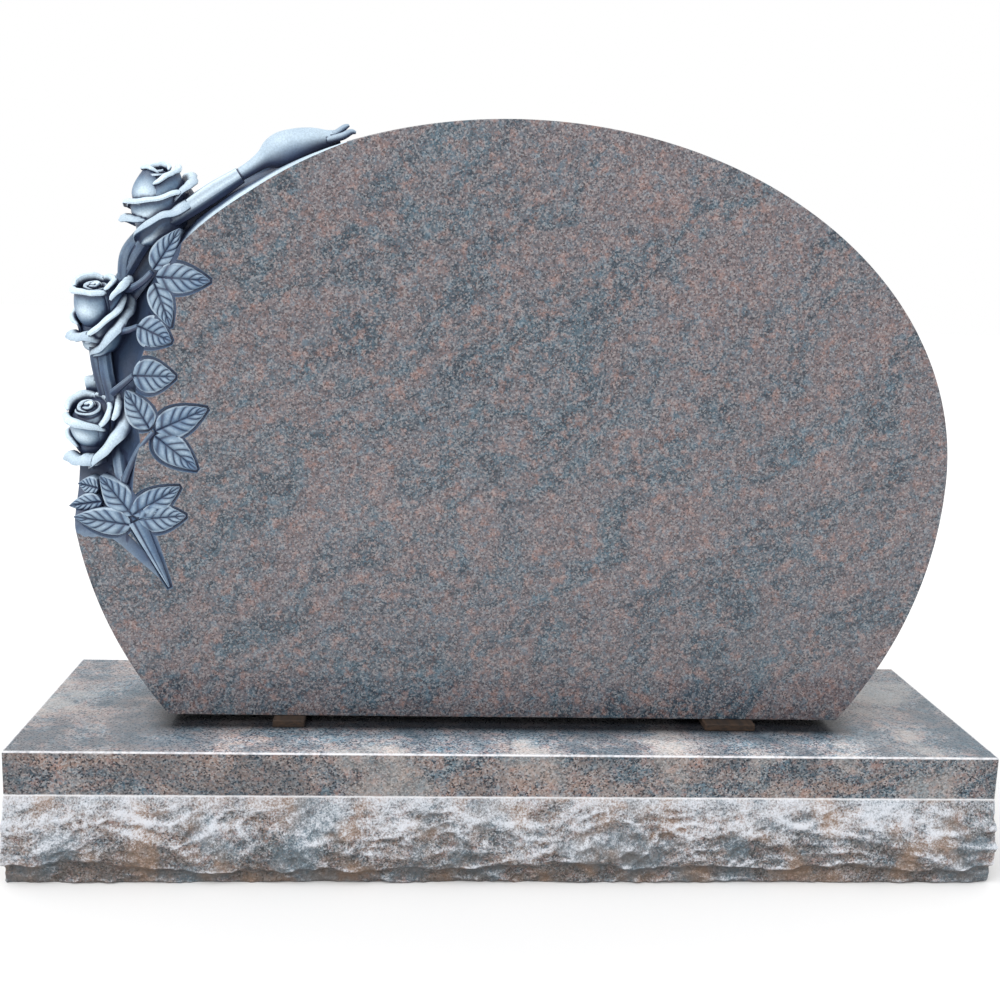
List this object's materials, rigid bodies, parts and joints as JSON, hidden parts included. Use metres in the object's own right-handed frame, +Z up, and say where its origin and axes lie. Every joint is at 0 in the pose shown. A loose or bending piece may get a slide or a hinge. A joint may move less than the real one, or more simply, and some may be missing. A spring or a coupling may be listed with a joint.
{
  "type": "granite monument",
  "caption": "Upright oval granite memorial on a rock-faced base, with roses, a bud and leaves carved along its upper left edge.",
  "frame": {"origin": "middle of the base's underside, on the ground", "axes": "+Z up, +X to the viewer's right along the width, +Y into the depth: the polished front faces -Y"},
  "size_m": [1.235, 0.3878, 0.9244],
  "materials": {
    "base_granite": "polished top and margin, rock-faced below",
    "tablet_granite": "polished faces, matt carving",
    "packer_wood": "rough sawn"
  },
  "bodies": {
    "root": {"base": "base_granite", "tablet": "tablet_granite", "packer_left": "packer_wood", "packer_right": "packer_wood"}
  },
  "joints": []
}
